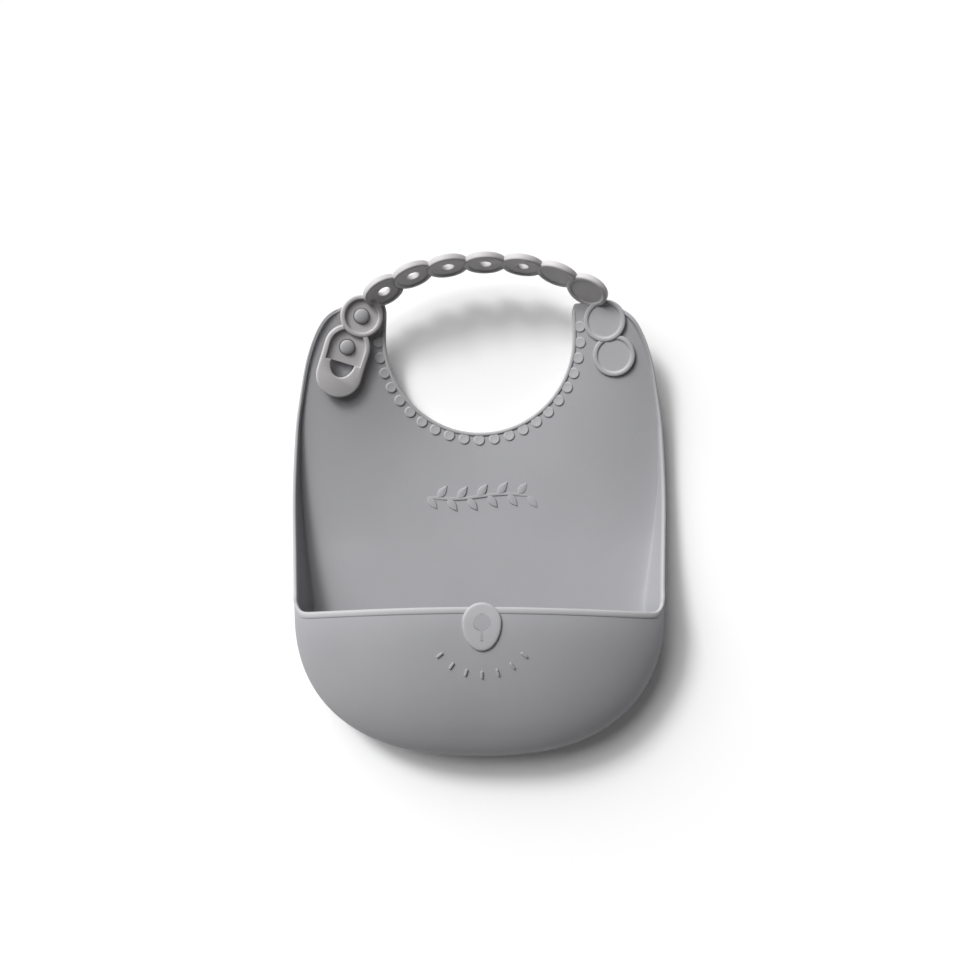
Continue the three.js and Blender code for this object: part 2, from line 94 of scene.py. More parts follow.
SIDE_ROWS = 60  # rows of cells from the shoulder's corner to the mouth
POCKET_ROWS = 30  # rows from there to the pocket's bottom
ROW_CROWDING = 1.3  # how much closer together the rows start, next to the mouth
BACK_RUN = 62.0  # the rows' inner ends run this far down the middle
FRONT_RUN = 65.0
BOTTOM_ROUND = 10.0  # how far in the pocket's lower edge rounds under
WALL_STEPS = (1.0, 0.82, 0.64, 0.46, 0.3, 0.17, 0.08, 0.03, 0.008)  # heights of the wall's columns
FLAT_COLUMNS = 12
FRONT_STEPS = (0.0, 0.3, 1.0, 2.2, 4.0, 6.5, 10.0, 15.0, 22.0)  # distances in from the outline
FRONT_COLUMNS = 8
MOUTH_TURNS = (2.2, 3.9, 5.7, 7.4)  # how far below the mouth the first front rows meet the walls
MOUTH_CORNER = 8.0  # radius of the mouth's corners
RIM_TOP_ROW = 57  # the rim runs between these rows of the side
RIM_LAST_ROW = 3

DOT_CIRCLE = 63.4  # circle through the collar dots' centres
DOT_STEP = 8.75  # degrees between neighbouring dots

# ---- Strap and closure. The links are drawn 0.2 mm larger and 0.8 mm thicker than their solids ----
COIN_RADIUS = 13.2
COIN_THICK = 3.6  # the closure's link
LINK_THICK = 4.4
RING = 2.9  # width of the raised ring around a link's face
RECESS = 1.0
DISC_THICK = 2.4
DISC_RECESS = 0.8
DISC_SINK = 0.6  # how far the discs are pressed into the shoulder
BITE_GAP = 0.15  # how much smaller than a link the bite is that its neighbour has
STUD_HEAD = 4.65  # radius
STUD_HOLE = 5.1
PLATE = 1.7  # recessed plates around the studs
TAB_RADIUS = 14.2
TAB_SPACING = 17.9
TAB_THICK = 3.8
TAB_RIM = 3.0
TAB_STEP = 9.9
FINGER_WIDTH = 15.4
FINGER_DEPTH = 9.6
CLOSURE_TILT = math.radians(17.5)
BADGE = Vector((1.6, -84.5))
BADGE_HALF_WIDTH = 11.8
BADGE_DOWN = 17.5  # from the keyhole's centre to the badge's narrow end
KEYHOLE = 5.3
SLIT_HALF_WIDTH = 0.8
SLIT_END = 11.3

# Strap links from the right shoulder to the closure: x, y, z, and the tilt towards the neck.
LINKS = (
    (66.4, 116.8, 30, 65), (47.9, 126.4, 31, 77), (26.4, 132, 31, 78), (3.4, 133.4, 31, 78),
    (-19.6, 131.5, 31, 76), (-41, 126, 31, 73), (-58.8, 116.8, 28.5, 66))
FIRST_HOLE = 2
DISCS = (Vector((84, 77.6)), Vector((77.8, 98.8)))
END_LINK = Vector((-72.8, 101.4, 24.8))
TAB_STUD = Vector((-81.9, 82.4))
TAB_DIRECTION = Vector((-0.27, -0.963))

# The part's base is centred on the frame's origin, and the pocket's lowest edge says how far that moved it.
SHIFT_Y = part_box("catch_pocket")[0].y * 1000 + POCKET_LENGTH - MOUTH_Y
TO_FRAME = Matrix.Scale(0.001, 4) @ Matrix.Translation((0, SHIFT_Y, 0))


def in_frame(x, y, z):
    return TO_FRAME @ Vector((x, y, z))


# ---- Small helpers ----
def clamp01(value):
    return min(max(value, 0.0), 1.0)


def ease(value):
    value = clamp01(value)
    return value * value * (3 - 2 * value)


def mix(a, b, share):
    return a + (b - a) * share


def through(points, run):
    """A point on the smooth curve through the points, with run from 0 to 1."""
    spans = len(points) - 1
    place = clamp01(run) * spans
    i = min(int(place), spans - 1)
    t = place - i
    p1, p2 = points[i], points[i + 1]
    p0 = points[i - 1] if i > 0 else p1 * 2 - p2
    p3 = points[i + 2] if i + 2 <= spans else p2 * 2 - p1
    bend = (p0 * 2 - p1 * 5 + p2 * 4 - p3) * t ** 2 + (p1 * 3 - p0 - p2 * 3 + p3) * t ** 3
    return (p1 * 2 + (p2 - p0) * t + bend) * 0.5


def evenly(points, count):
    """count + 1 points at equal distances along the smooth curve through the points."""
    fine = [through(points, i / 400) for i in range(401)]
    lengths = [0.0]
    for a, b in zip(fine, fine[1:]):
        lengths.append(lengths[-1] + (b - a).length)
    made, j = [], 0
    for k in range(count + 1):
        target = lengths[-1] * k / count
        while j < 399 and lengths[j + 1] < target:
            j += 1
        made.append(fine[j].lerp(fine[j + 1], (target - lengths[j]) / (lengths[j + 1] - lengths[j])))
    return made


def sheet_height(x, y):
    """Height of the sheet's back face, which curls up towards the shoulders."""
    run = max(0.0, (y - CURL_START) / (SHOULDER_TOP - CURL_START))
    across = math.sin(math.pi / 2 * clamp01(abs(x) / CURL_HALF_WIDTH)) ** 2
    return SHOULDER_LIFT * run ** CURL_POWER * across


def wall_height(y):
    growth = clamp01((WALL_GROWTH_START - y) / (WALL_GROWTH_START - MOUTH_Y))
    return min(WALL_FOOT + WALL_GROWTH * growth ** WALL_POWER, CORNER_HEIGHT)


def widest_height(cosine):
    return TROUGH_HEIGHT + (CORNER_HEIGHT - TROUGH_HEIGHT) * cosine ** CORNER_POWER


def outline_stretch(cosine, sine):
    return (cosine ** POCKET_ROUND + sine ** POCKET_ROUND) ** (-1 / POCKET_ROUND)


def pocket_outline(angle):
    cosine, sine = max(math.cos(angle), 0.0), math.sin(angle)
    reach = outline_stretch(cosine, sine)
    return Vector((POCKET_HALF_WIDTH * cosine * reach, MOUTH_Y - POCKET_LENGTH * sine * reach))


def front_height(x, y):
    """Height of the pocket's front wall."""
    a, b = abs(x) / POCKET_HALF_WIDTH, max(0.0, (MOUTH_Y - y) / POCKET_LENGTH)
    radius = math.hypot(a, b)
    if radius < 1e-6:
        return RIM_HEIGHT
    cosine = a / radius
    part = min(1.0, radius / outline_stretch(cosine, b / radius))
    side = cosine ** 4
    edge = widest_height(cosine)
    power = CROWN_POWER + CROWN_SIDE_POWER * side
    root = CROWN_ROOT + CROWN_SIDE_ROOT * side
    return edge + (RIM_HEIGHT - edge) * (1 - part ** power) ** root


def sloped(height, x, y, step=1.0):
    """The turn that lays a piece flat on the surface with the given height."""
    rise = (height(x, y + step) - height(x, y - step)) / (2 * step)
    lean = (height(x + step, y) - height(x - step, y)) / (2 * step)
    return Matrix.Rotation(math.atan(rise), 4, "X") @ Matrix.Rotation(-math.atan(lean), 4, "Y")


# ---- Mesh helpers ----
def bent_grid(columns, rows, place):
    """A grid whose corner i, j is moved to place(i, j)."""
    bm = bmesh.new()
    bmesh.ops.create_grid(bm, x_segments=columns, y_segments=rows, size=1)
    for vert in bm.verts:
        i = round((vert.co.x + 1) / 2 * columns)
        j = round((vert.co.y + 1) / 2 * rows)
        vert.co = place(i, j)
    return bm


def merged(bm, distance=0.001):
    bmesh.ops.remove_doubles(bm, verts=bm.verts, dist=distance)
    bmesh.ops.recalc_face_normals(bm, faces=bm.faces)
    return bm


def outlined(points):
    """The points of a closed outline, anticlockwise, each with its outward direction."""
    count = len(points)
    pairs = []
    for i, point in enumerate(points):
        along = points[(i + 1) % count] - points[i - 1]
        pairs.append((point, Vector((along.y, -along.x)).normalized()))
    return pairs


def plate(points, levels):
    """A closed plate. Levels are its (offset from the outline, height) steps from the bottom up."""
    pairs = outlined(points)

    def place(i, j):
        point, outward = pairs[i % len(pairs)]
        flat = point + outward * levels[j][0]
        return Vector((flat.x, flat.y, levels[j][1]))

    bm = bent_grid(len(pairs), len(levels) - 1, place)
    bmesh.ops.remove_doubles(bm, verts=bm.verts, dist=1e-4)
    bmesh.ops.holes_fill(bm, edges=bm.edges, sides=0)
    bmesh.ops.recalc_face_normals(bm, faces=bm.faces)
    return bm


def ring_points(radius, count=64, centre=Vector((0, 0))):
    angles = [2 * math.pi * i / count for i in range(count)]
    return [centre + Vector((radius * math.cos(a), radius * math.sin(a))) for a in angles]


def stadium_points(radius, length, count=28):
    """Two half circles joined by straight sides, the second one length ahead along x."""
    points = []
    for start, shift in ((-math.pi / 2, length), (math.pi / 2, 0)):
        for i in range(count + 1):
            angle = start + math.pi * i / count
            points.append(Vector((shift + radius * math.cos(angle), radius * math.sin(angle))))
    return points


def swept(path, downs, section, scales):
    """A bead along the path. The section's points are (down, out) pairs around it."""
    count = len(section)

    def place(i, j):
        before, after = path[max(j - 1, 0)], path[min(j + 1, len(path) - 1)]
        along = (after - before).normalized()
        down = (downs[j] - along * downs[j].dot(along)).normalized()
        out = along.cross(down)
        a, b = section[i % count]
        return path[j] + (down * a + out * b) * scales[j]

    bm = bent_grid(count, len(path) - 1, place)
    return merged(bm, 1e-4)


def oval(down, out, count=10, low=0.0, inner=0.0):
    """A rounded section: half sizes down and out, with its middle at low, inner."""
    def squared(value):
        return math.copysign(abs(value) ** 0.7, value)

    points = []
    for i in range(count):
        angle = 2 * math.pi * i / count
        points.append((low + down * squared(math.cos(angle)), inner + out * squared(math.sin(angle))))
    return points


def as_object(name, bm):
    mesh = bpy.data.meshes.new(name)
    bm.to_mesh(mesh)
    bm.free()
    made = bpy.data.objects.new(name, mesh)
    bpy.context.scene.collection.objects.link(made)
    return made


def settled(made):
    """A new bmesh of the object with its modifiers applied, and the object removed."""
    bpy.context.view_layer.update()
    mesh = bpy.data.meshes.new_from_object(made.evaluated_get(bpy.context.evaluated_depsgraph_get()))
    bm = bmesh.new()
    bm.from_mesh(mesh)
    bpy.data.meshes.remove(mesh)
    bpy.data.meshes.remove(made.data)
    return bm


def carved(bm, *cutters):
    """The solid with each cutter taken away."""
    body = as_object("carving", bm)
    tools = [as_object("cutter", cutter) for cutter in cutters]
    for tool in tools:
        modifier = body.modifiers.new("carve", "BOOLEAN")
        modifier.object = tool
        modifier.operation = "DIFFERENCE"
        modifier.solver = "EXACT"
    result = settled(body)
    for tool in tools:
        bpy.data.meshes.remove(tool.data)
    bmesh.ops.dissolve_degenerate(result, edges=result.edges, dist=0.002)
    return result


def moved(bm, matrix):
    bmesh.ops.transform(bm, matrix=matrix, verts=bm.verts)
    return bm


def joined(parts):
    """Several bmeshes as one."""
    whole = bmesh.new()
    for part in parts:
        mesh = bpy.data.meshes.new("part")
        part.to_mesh(mesh)
        part.free()
        whole.from_mesh(mesh)
        bpy.data.meshes.remove(mesh)
    return whole


def rounded_tool(points, low, high, lip=0.5):
    """A cutter that leaves a rounded edge where it comes out at height high."""
    levels = [(0, low), (0, high - lip)]
    for i in range(1, 5):
        angle = math.pi / 2 * i / 4
        levels.append((lip * (1 - math.cos(angle)), high - lip + lip * math.sin(angle)))
    levels.append((lip, high + 6))
    return plate(points, levels)


def piece(name, bm, material, replaces=(), body=None, blend=None, subdivide=0, sharp=40):
    """A finished piece in metres, with its finish, its body and the solids it stands for."""
    made = as_object(name, moved(bm, TO_FRAME))
    made.data.materials.append(material)
    made.data.polygons.foreach_set("use_smooth", [True] * len(made.data.polygons))
    if subdivide:
        modifier = made.modifiers.new("smooth", "SUBSURF")
        modifier.levels = modifier.render_levels = subdivide
    else:
        made.data.set_sharp_from_angle(angle=math.radians(sharp))
    if replaces:
        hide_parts(*replaces)
    if blend:
        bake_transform(made)
    else:
        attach(made, body)
    return made


# ---- Shader helpers ----
class Wire:
    """A shader socket in Python arithmetic: every operation adds its Math node."""

    def __init__(self, finish, socket):
        self.finish = finish
        self.socket = socket

    def _math(self, operation, first, second):
        return self.finish.node("ShaderNodeMath", {"operation": operation}, {0: first, 1: second})

    def __add__(self, other):
        return self._math("ADD", self, other)

    def __radd__(self, other):
        return self._math("ADD", other, self)

    def __mul__(self, other):
        return self._math("MULTIPLY", self, other)


class Finish:
    """A material whose nodes all come from one method."""

    def __init__(self, name):
        self.material = bpy.data.materials.new(name)
        self.material.use_nodes = True
        self.tree = self.material.node_tree
        self.tree.nodes.clear()

    def node(self, kind, settings=None, inputs=None, output=0):
        made = self.tree.nodes.new(kind)
        for key, value in (settings or {}).items():
            if key == "stops":
                for element, (position, colour) in zip(made.color_ramp.elements, value):
                    element.position, element.color = position, colour
            else:
                setattr(made, key, value)
        for key, value in (inputs or {}).items():
            if isinstance(value, Wire):
                self.tree.links.new(value.socket, made.inputs[key])
            else:
                made.inputs[key].default_value = value
        return Wire(self, made.outputs[output])

    def noise(self, place, scale, detail=2.0, roughness=0.5):
        return self.node("ShaderNodeTexNoise", None, {
            "Vector": place, "Scale": scale, "Detail": detail, "Roughness": roughness})

    def mixed(self, share, first, second):
        return self.node("ShaderNodeMix", {"data_type": "RGBA"}, {0: share, 6: first, 7: second}, output=2)

    def shown(self, shader):
        out = self.tree.nodes.new("ShaderNodeOutputMaterial")
        self.tree.links.new(shader.socket, out.inputs["Surface"])
        return self.material


def silicone(name, colour, bloom):
    """Moulded silicone: satin, with a fine grain, faint clouding and a trace of pale bloom."""
    finish = Finish(name)
    place = finish.node("ShaderNodeTexCoord", output=3)
    clouds = finish.noise(place, 22.0, 3.0)
    grain = finish.noise(place, 2600.0, 2.0, 0.6)
    specks = finish.noise(place, 900.0, 1.0)
    dust = finish.node("ShaderNodeMapRange", None, {0: specks, 1: 0.66, 2: 0.78, 3: 0.0, 4: 1.0})
    deep = [c * 0.95 for c in colour[:3]] + [1]
    pale = [min(1, c * 1.05 + 0.004) for c in colour[:3]] + [1]
    base = finish.mixed(clouds, deep, pale)
    milky = [mix(c, 0.75, 0.5) for c in colour[:3]] + [1]
    shade = finish.mixed(dust * bloom, base, milky)
    rough = 0.5 + clouds * 0.1 + dust * 0.15
    bump = finish.node("ShaderNodeBump", None, {"Strength": 0.12, "Distance": 0.00012, "Height": grain})
    shader = finish.node("ShaderNodeBsdfPrincipled", None, {
        "Base Color": shade, "Roughness": rough, "IOR": 1.41, "Specular IOR Level": 0.45, "Normal": bump})
    return finish.shown(shader)


MATERIALS = {}


def material_for(slot):
    """The finish of a material slot, made once from the panel's colours. The raised and strap slots are the
    body's own silicone, painted lighter to stand in for light.
    """
    if slot not in MATERIALS:
        colours = bpy.context.scene.bib_colours
        colour = {"silicone_body": colours.body, "silicone_raised": colours.raised,
                  "silicone_strap": colours.strap}[slot]
        MATERIALS[slot] = silicone(slot.replace("_", " "), tuple(colour), colours.bloom)
    return MATERIALS[slot]


# ---- The moulded shell ----
def inner_point(run):
    """The shell's inner edge: up the middle, around the neckline and up to the shoulder's corner."""
    if run < 0.5:
        return Vector((0, mix(MOUTH_Y, NECK_Y - NECK_RADIUS, run / 0.5)))
    if run < 0.9:
        angle = (run - 0.5) / 0.4 * math.pi / 2
        return Vector((NECK_RADIUS * math.sin(angle), NECK_Y - NECK_RADIUS * math.cos(angle)))
    corner = [Vector((58.8, 89)), Vector((58.5, 98)), Vector((58.3, 106)), Vector((59.8, 110.6))]
    return through(corner, (run - 0.9) / 0.1)


def wall_top(point, run):
    """Height of the side wall above the sheet, which runs out at the shoulder's corner."""
    return wall_height(point.y) * mix(0.12, 1, ease((1 - run) / 0.12))


def shell_row(outer, inner, tall, rounded, sheet):
    """One row of the back surface, from the wall's top edge to the inner edge."""
    length = (inner - outer).length
    towards = (inner - outer) / length
    points = []
    last = len(WALL_STEPS) - 1
    deepest = 0.0
    for m, share in enumerate(WALL_STEPS):
        lean = DRAFT * tall * (0.99 - (share - 0.01 / share))
        angle = math.pi / 2 * m / last
        depth = mix(lean, BOTTOM_ROUND * (1 - math.cos(angle)), rounded)
        rise = mix(tall * share, tall * (1 - math.sin(angle)), rounded)
        flat = outer + towards * depth
        points.append(Vector((flat.x, flat.y, rise + (sheet_height(flat.x, flat.y) if sheet else 0))))
        deepest = depth
    left_over = tall * WALL_STEPS[-1] * (1 - rounded)
    for k in range(1, FLAT_COLUMNS + 1):
        share = k / FLAT_COLUMNS
        flat = outer + towards * mix(deepest, length, share)
        height = left_over * (1 - share) ** 2
        points.append(Vector((flat.x, flat.y, height + (sheet_height(flat.x, flat.y) if sheet else 0))))
    return points


def back_rows():
    side = evenly(SIDE_EDGE, SIDE_ROWS)
    rows = []
    for k in range(SIDE_ROWS, -1, -1):
        run = k / SIDE_ROWS
        rows.append(shell_row(side[k], inner_point(run), wall_top(side[k], run), 0.0, True))
    for k in range(1, POCKET_ROWS + 1):
        angle = math.pi / 2 * k / POCKET_ROWS
        inner = Vector((0, MOUTH_Y - BACK_RUN * (k / POCKET_ROWS) ** ROW_CROWDING))
        cosine = max(math.cos(angle), 0.0)
        rows.append(shell_row(pocket_outline(angle), inner, widest_height(cosine), 1 - cosine ** 4, False))
    return rows


def front_rows():
    """Rows of the pocket's front wall. The first four turn up into the side walls' tops."""
    side = evenly(SIDE_EDGE, SIDE_ROWS)
    total = POCKET_ROWS + 2
    rows = []
    for i in range(total + 1):
        inner_y = MOUTH_Y + LIP_BOW - FRONT_RUN * (i / total) ** ROW_CROWDING
        outer = side[2 - i] if i < 3 else pocket_outline(math.pi / 2 * (i - 2) / POCKET_ROWS)
        inner = Vector((0, inner_y))
        length = (inner - outer).length
        steps = [d / length for d in FRONT_STEPS]
        steps += [mix(steps[-1], 1, k / FRONT_COLUMNS) for k in range(1, FRONT_COLUMNS + 1)]
        row = []
        for share in steps:
            flat = outer.lerp(inner, share)
            if i < len(MOUTH_TURNS):
                turn = MOUTH_Y - MOUTH_TURNS[i]
                x = outer.x * (1 - share)
                around = clamp01((x - outer.x + MOUTH_CORNER) / MOUTH_CORNER)
                y = mix(inner_y, turn, (x / outer.x) ** 2)
                flat = Vector((x, y + (outer.y - turn) * (1 - math.sqrt(1 - around ** 2))))
            row.append(Vector((flat.x, flat.y, front_height(flat.x, flat.y))))
        rows.append(row)
    return rows


def mirrored(bm):
    bmesh.ops.mirror(bm, geom=bm.verts[:] + bm.edges[:] + bm.faces[:], matrix=Matrix.Identity(4),
                     merge_dist=0.02, axis="X")
    return bm


def keyhole_tools():
    """Cutters for the round hole and the slit below it."""
    hole = plate(ring_points(KEYHOLE, 48, BADGE), [(0, 15), (0, 70)])
    right, left = SLIT_HALF_WIDTH, -SLIT_HALF_WIDTH
    corners = ((right, -SLIT_END), (right, -2), (left, -2), (left, -SLIT_END))
    slit = [BADGE + Vector(corner) for corner in corners]
    return [hole, plate(slit, [(0, 14.5), (0, 70.5)])]


def moulded_shell():
    back, front = back_rows(), front_rows()
    halves = [bent_grid(len(rows[0]) - 1, len(rows) - 1, lambda i, j, rows=rows: rows[j][i])
              for rows in (back, front)]
    bm = mirrored(joined(halves))
    merged(bm, 0.02)
    low = min(bm.faces, key=lambda face: (face.calc_center_median() - Vector((0, -20, 0))).length)
    if low.normal.z > 0:
        bmesh.ops.reverse_faces(bm, faces=bm.faces)
    whole = as_object("shell", bm)
    wall = whole.modifiers.new("wall", "SOLIDIFY")
    wall.thickness, wall.offset, wall.use_even_offset = SHEET, -1, True
    smooth = whole.modifiers.new("smooth", "SUBSURF")
    smooth.levels = smooth.render_levels = 1
    return carved(settled(whole), *keyhole_tools())


class BIB_OT_moulded_shell(bpy.types.Operator):
    """Builds the sheet, its side walls and the catch pocket as one moulding"""
    bl_idname = "bib.moulded_shell"
    bl_label = "Moulded shell"

    def execute(self, context):
        piece("moulded_shell", moulded_shell(), material_for("silicone_body"),
              ("back_panel", "right_side_wall", "left_side_wall", "catch_pocket"), "bib", sharp=50)
        return {"FINISHED"}


# ---- Rim and collar ----
def rim_half():
    """Path of the rim from the right shoulder to the middle of the mouth, with its down directions."""
    side = evenly(SIDE_EDGE, SIDE_ROWS)
    path, downs, scales = [], [], []
    for k in range(RIM_TOP_ROW, RIM_LAST_ROW - 1, -1):
        run = k / SIDE_ROWS
        along = side[k + 1] - side[k - 1]
        inward = Vector((-along.y, along.x)).normalized()
        path.append(Vector((side[k].x, side[k].y, sheet_height(*side[k]) + wall_top(side[k], run))))
        downs.append(Vector((inward.x * DRAFT, inward.y * DRAFT, -1)))
        scales.append(mix(0.45, 1, ease((1 - run - 0.05) / 0.5)))
    edge = front_rows()[0]
    for point in edge:
        turn = ease(clamp01((edge[0].x - point.x) / 6) ** 0.5)
        path.append(point)
        downs.append(Vector((-DRAFT, 0, -1)).normalized().slerp(Vector((0, -1, 0)), turn))
        scales.append(1.0)
    return path, downs, scales


def rim_band():
    path, downs, scales = rim_half()
    half = swept(path, downs, oval(2.2, 1.4, 12, 1.5, -0.8), scales)
    ends = [edge for edge in half.edges if edge.is_boundary and edge.verts[0].co.y > 0]
    bmesh.ops.edgeloop_fill(half, edges=ends)
    for vert in half.verts:
        if abs(vert.co.x) < 0.5 and vert.co.y < 0:
            vert.co.x = 0
    return merged(mirrored(half), 0.002)


class BIB_OT_rim_band(bpy.types.Operator):
    """Builds the rounded rim along the side walls' tops and the pocket's mouth"""
    bl_idname = "bib.rim_band"
    bl_label = "Rim"

    def execute(self, context):
        piece("rim_band", rim_band(), material_for("silicone_raised"),
              ("right_side_rim", "left_side_rim", "pocket_rim"), "bib", subdivide=1)
        return {"FINISHED"}


def neck_bead(radius):
    inset = NECK_RADIUS + radius * 0.85
    flat = [Vector((inset - 0.6, 107.2)), Vector((inset - 0.4, 102)), Vector((inset - 0.2, 96))]
    for i in range(61):
        angle = -math.pi * i / 60
        flat.append(Vector((inset * math.cos(angle), NECK_Y + inset * math.sin(angle))))
    flat += [Vector((-p.x, p.y)) for p in reversed(flat[:3])]
    path = [Vector((p.x, p.y, sheet_height(*p) + SHEET)) for p in flat]
    downs = [Vector((0, 0, -1))] * len(path)
    scales = [mix(0.6, 1, ease(min(i, len(path) - 1 - i) / 2)) for i in range(len(path))]
    bead = swept(path, downs, oval(radius * 1.05, radius, 10, 0.15), scales)
    bmesh.ops.holes_fill(bead, edges=bead.edges, sides=0)
    return merged(bead, 1e-4)


def collar_dots(sizes):
    """Flat dots with soft edges, each one seated on the curled sheet."""
    dots = []
    radius = sizes.dot_radius * 1000
    half = (sizes.dot_count - 1) / 2
    for k in range(sizes.dot_count):
        angle = math.radians(DOT_STEP * (k - half)) - math.pi / 2
        x, y = DOT_CIRCLE * math.cos(angle), NECK_Y + DOT_CIRCLE * math.sin(angle)
        dot = plate(ring_points(radius, 32), [
            (-0.1, -0.6), (0, 0.1), (0, 0.35), (-0.12, 0.6), (-0.42, 0.77), (-0.9, 0.8),
            (-1.4, 0.74), (-1.9, 0.7)])
        seat = Matrix.Translation((x, y, sheet_height(x, y) + SHEET))
        dots.append(moved(dot, seat @ sloped(sheet_height, x, y)))
    return joined(dots)


class BIB_OT_collar(bpy.types.Operator):
    """Builds the neckline's bead and its row of dots"""
    bl_idname = "bib.collar"
    bl_label = "Collar"

    def execute(self, context):
        sizes = context.scene.bib_sizes
        raised = material_for("silicone_raised")
        piece("neck_bead", neck_bead(sizes.bead_radius * 1000), raised,
              ("collar_trim",), "bib", subdivide=1)
        piece("collar_dots", collar_dots(sizes), raised, (), "bib")
        return {"FINISHED"}


# ---- Badge and relief marks ----
def badge_points(count=72):
    points = []
    for i in range(count):
        angle = 2 * math.pi * i / count
        reach = BADGE_DOWN if math.sin(angle) < 0 else BADGE_HALF_WIDTH
        points.append(BADGE + Vector((BADGE_HALF_WIDTH * math.cos(angle), reach * math.sin(angle))))
    return points


def badge():
    """A plate with rounded edges that follows the front wall."""
    body = plate(badge_points(), [
        (-0.3, -1.2), (0, -0.9), (0, 0.4), (-0.25, 0.9), (-0.7, 1.2), (-1.4, 1.3),
        (-3, 1.3), (-5, 1.3), (-7, 1.3), (-9, 1.3)])
    for vert in body.verts:
        vert.co.z += front_height(vert.co.x, min(vert.co.y, MOUTH_Y))
    return carved(body, *keyhole_tools())


class BIB_OT_badge(bpy.types.Operator):
    """Builds the plain badge with its keyhole in the middle of the mouth"""
    bl_idname = "bib.badge"
    bl_label = "Keyhole badge"

    def execute(self, context):
        piece("badge_plate", badge(), material_for("silicone_raised"),
              ("keyhole_badge",), "bib")
        return {"FINISHED"}


def leaf_points(length, width, count=14):
    """An almond outline from the origin along x."""
    points = []
    for side, order in ((-1, range(count)), (1, range(count, 0, -1))):
        for i in order:
            share = i / count
            points.append(Vector((length * share, side * width / 2 * math.sin(math.pi * share ** 0.85))))
    return points


def sprig(relief):
    """A leaf sprig lying across the chest: a waved stem with leaves on both sides."""
    parts = []

    def stem_y(x):
        return -10.5 + 1.6 * math.sin(x / 11)

    path = [Vector((x, stem_y(x), SHEET + 0.1)) for x in range(-36, 37, 2)]
    scales = [mix(0.35, 1, ease(min(i, len(path) - 1 - i) / 4)) for i in range(len(path))]
    stem = swept(path, [Vector((0, 0, -1))] * len(path), oval(relief * 0.9, 0.95, 8), scales)
    bmesh.ops.holes_fill(stem, edges=stem.edges, sides=0)
    parts.append(merged(stem, 1e-4))
    for i in range(11):
        x = -33 + 6.4 * i
        side = 1 if i % 2 else -1
        leaf = plate(leaf_points(10.0, 5.0), [
            (0, -0.4), (0, relief * 0.5), (-0.25, relief * 0.9), (-0.6, relief)])
        turn = Matrix.Rotation(side * math.radians(52), 4, "Z")
        parts.append(moved(leaf, Matrix.Translation((x, stem_y(x), SHEET)) @ turn))
    return joined(parts)


def arc_marks(relief):
    """Seven plain bars fanned out below the badge."""
    bars = []
    centre, reach, length = Vector((1.6, -84)), 32.5, 3.4
    for k in range(-3, 4):
        angle = math.radians(-90 + 17 * k)
        x, y = centre + Vector((reach * math.cos(angle), reach * math.sin(angle)))
        bar = plate(stadium_points(0.75, length, 8), [
            (0, -1.5), (0, relief * 0.5), (-0.2, relief * 0.9), (-0.45, relief)])
        seat = Matrix.Translation((x, y, front_height(x, y))) @ sloped(front_height, x, y)
        outward = Matrix.Rotation(angle, 4, "Z") @ Matrix.Translation((-length / 2, 0, 0))
        bars.append(moved(bar, seat @ outward))
    return joined(bars)


class BIB_OT_reliefs(bpy.types.Operator):
    """Builds the raised leaf sprig on the chest and the plain bars below the badge"""
    bl_idname = "bib.reliefs"
    bl_label = "Relief marks"

    def execute(self, context):
        relief = context.scene.bib_sizes.relief * 1000
        body = material_for("silicone_body")
        piece("leaf_sprig", sprig(relief), body, (), "bib")
        piece("arc_marks", arc_marks(relief), body, (), "bib")
        return {"FINISHED"}


# ---- Strap ----
def coin(thick=COIN_THICK, recess=RECESS):
    """A disc with a rounded rim and a recessed face."""
    top = thick / 2
    return plate(ring_points(COIN_RADIUS), [
        (-1.1, -top), (-0.45, -top + 0.2), (-0.1, -top + 0.6), (0, -top + 1.1),
        (0, top - 1.1), (-0.1, top - 0.6), (-0.45, top - 0.2), (-1.0, top),
        (-RING + 0.75, top), (-RING + 0.25, top - 0.15), (-RING, top - 0.45),
        (-RING - 0.1, top - recess + 0.2), (-RING - 0.35, top - recess), (-RING - 1.0, top - recess)])


def bite_of(turn, reach=7):
    """A cutter in the shape of a neighbouring link."""
    return moved(plate(ring_points(COIN_RADIUS - BITE_GAP), [(0, -reach), (0, reach)]), turn)


def link_frame(centre, along, tilt):
    """A link's axes: x along the strap, z out of its face, which leans towards the neck."""
    inward = Vector((along.y, -along.x, 0))
    if inward.x * centre.x + inward.y * (centre.y - NECK_Y) > 0:
        inward.negate()
    normal = Vector((0, 0, math.cos(tilt))) + inward * math.sin(tilt)
    forward = Vector((along.x, along.y, 0))
    return frame_matrix(centre, forward, normal)


def frame_matrix(centre, forward, normal):
    side = normal.cross(forward)
    turn = Matrix((forward, side, normal)).transposed().to_4x4()
    return Matrix.Translation(centre) @ turn


def strap_frames():
    chain = (LINKS[0], *LINKS, LINKS[-1])
    frames = []
    for i, (x, y, z, tilt) in enumerate(LINKS):
        along = Vector((chain[i + 2][0] - chain[i][0], chain[i + 2][1] - chain[i][1])).normalized()
        frames.append(link_frame(Vector((x, y, z)), along, math.radians(tilt)))
    return frames


def closure_frame(x, y, ahead):
    """The end link and the tab lie in one plane that slopes as the shoulder does."""
    down = Vector((0.75, -0.66, 0)).normalized()
    normal = Vector((0, 0, math.cos(CLOSURE_TILT))) + down * math.sin(CLOSURE_TILT)
    from_end = (x - END_LINK.x) * down.x + (y - END_LINK.y) * down.y
    centre = Vector((x, y, END_LINK.z - from_end * math.tan(CLOSURE_TILT)))
    forward = Vector((ahead.x, ahead.y, 0))
    forward = (forward - normal * forward.dot(normal)).normalized()
    return frame_matrix(centre, forward, normal)


def end_frame():
    ahead = Vector((END_LINK.x - LINKS[-1][0], END_LINK.y - LINKS[-1][1]))
    return closure_frame(END_LINK.x, END_LINK.y, ahead)


